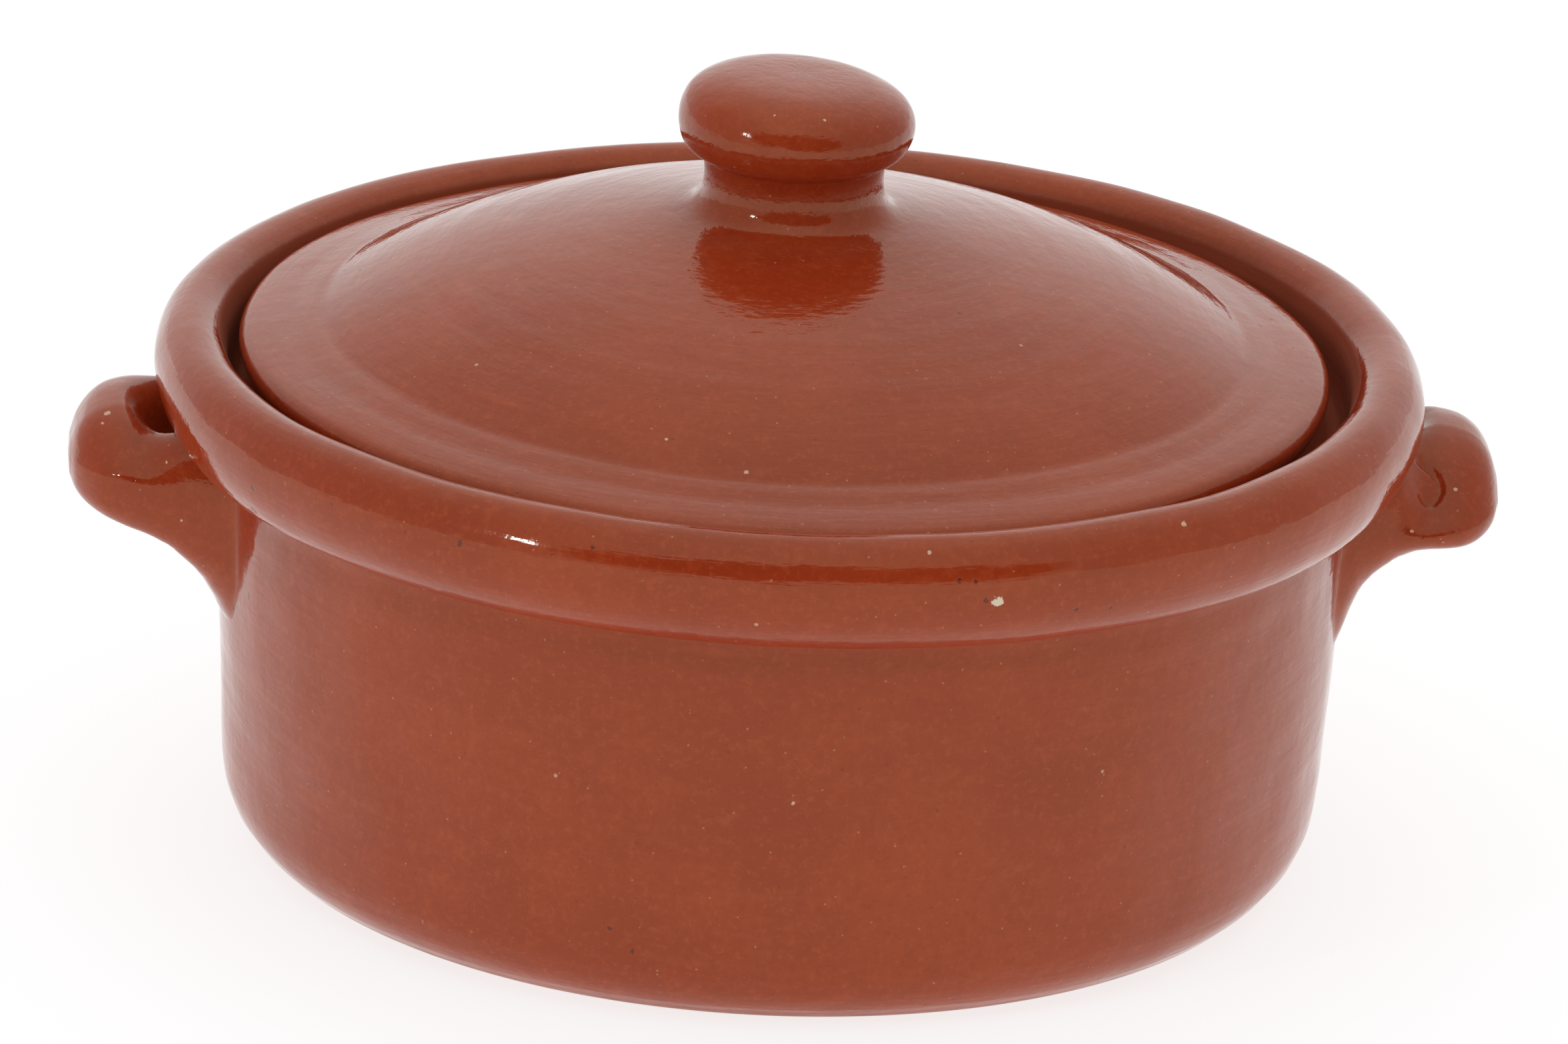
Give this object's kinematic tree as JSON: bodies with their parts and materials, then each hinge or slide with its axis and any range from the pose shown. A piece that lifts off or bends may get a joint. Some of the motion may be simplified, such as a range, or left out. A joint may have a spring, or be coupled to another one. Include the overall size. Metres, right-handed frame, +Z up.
{
  "type": "covered casserole dish",
  "caption": "Round glazed terracotta casserole: straight-sided pot with a thick rolled rim and ear handles, and a low domed lid with a mushroom knob that lifts off.",
  "frame": {"origin": "centre of the flat base, on the surface that the pot stands on", "axes": "+X through the right handle, +Y towards the back, +Z up along the axis of the pot, the lid and the knob"},
  "size_m": [0.25, 0.22, 0.1406],
  "materials": {
    "glazed_terracotta": "clear gloss glaze over red terracotta"
  },
  "bodies": {
    "pot": {"pot": "glazed_terracotta", "handle_left": "glazed_terracotta", "handle_right": "glazed_terracotta"},
    "lid": {"lid": "glazed_terracotta", "lid_knob": "glazed_terracotta"}
  },
  "joints": [
    {"name": "lid_lift", "type": "slide", "parent": "pot", "child": "lid", "axis": [0, 0, 1], "range_m": [0, 0.12]}
  ]
}
